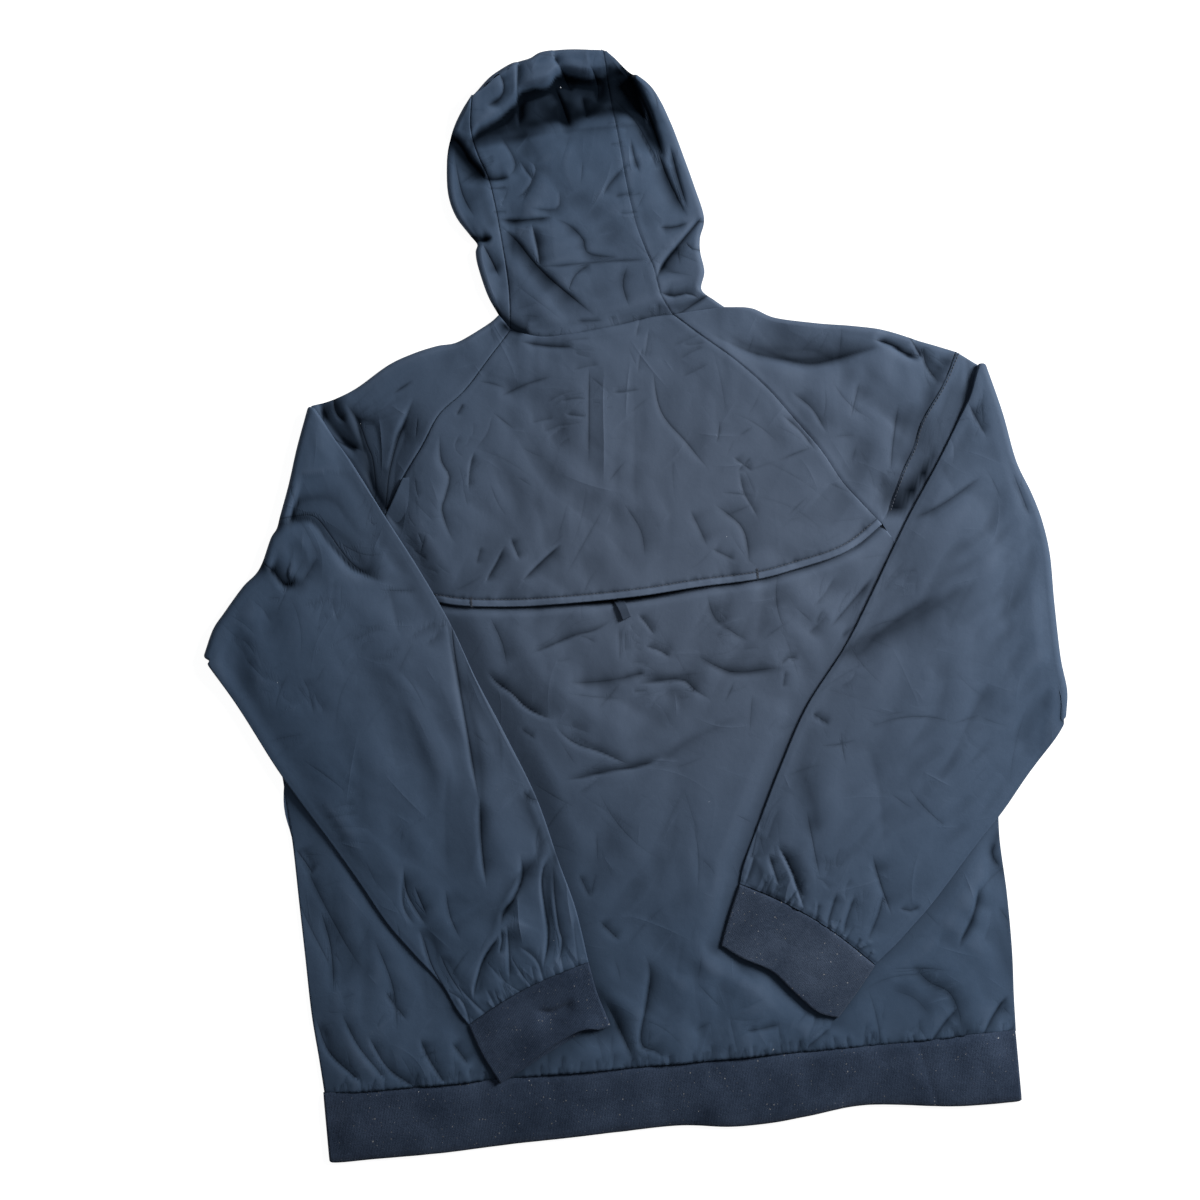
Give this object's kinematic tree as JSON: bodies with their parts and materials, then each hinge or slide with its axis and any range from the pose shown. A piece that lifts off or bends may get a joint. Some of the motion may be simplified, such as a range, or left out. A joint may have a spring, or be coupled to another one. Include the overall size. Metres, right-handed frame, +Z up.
{
  "type": "hooded windbreaker jacket",
  "caption": "Hooded nylon windbreaker laid flat, back up: raglan shoulders, vented back flap, both sleeves folded over, rib-knit hem and cuffs",
  "frame": {"origin": "middle of the area that the laid jacket covers, on the surface it lies on", "axes": "+X to the wearer's right across the back, +Y from the hem to the hood, +Z up from the surface"},
  "size_m": [0.7424, 0.9424, 0.0144],
  "materials": {
    "nylon": "thin navy woven nylon with a soft sheen",
    "rib": "matte navy rib knit",
    "tape": "matte navy woven zip tape",
    "zip_metal": "navy painted zinc"
  },
  "bodies": {
    "jacket": {"back_lower": "nylon", "back_flap": "nylon", "hang_loop": "tape", "shoulder_left": "nylon", "shoulder_right": "nylon", "front_left": "nylon", "front_right": "nylon", "sleeve_left": "nylon", "sleeve_right": "nylon", "cuff_left": "rib", "cuff_right": "rib", "hem_rib": "rib", "hood_centre": "nylon", "hood_side_left": "nylon", "hood_side_right": "nylon", "hood_front_folds": "nylon", "zip_tape_left": "tape", "zip_tape_right": "tape", "zip_slider": "zip_metal"},
    "pull": {"zip_pull": "zip_metal"}
  },
  "joints": [
    {"name": "pull_tab", "type": "hinge", "parent": "jacket", "child": "pull", "pos_m": [-0.005, 0.187, 0.00135], "axis": [1, 0, 0], "range_deg": [0, 170]}
  ]
}
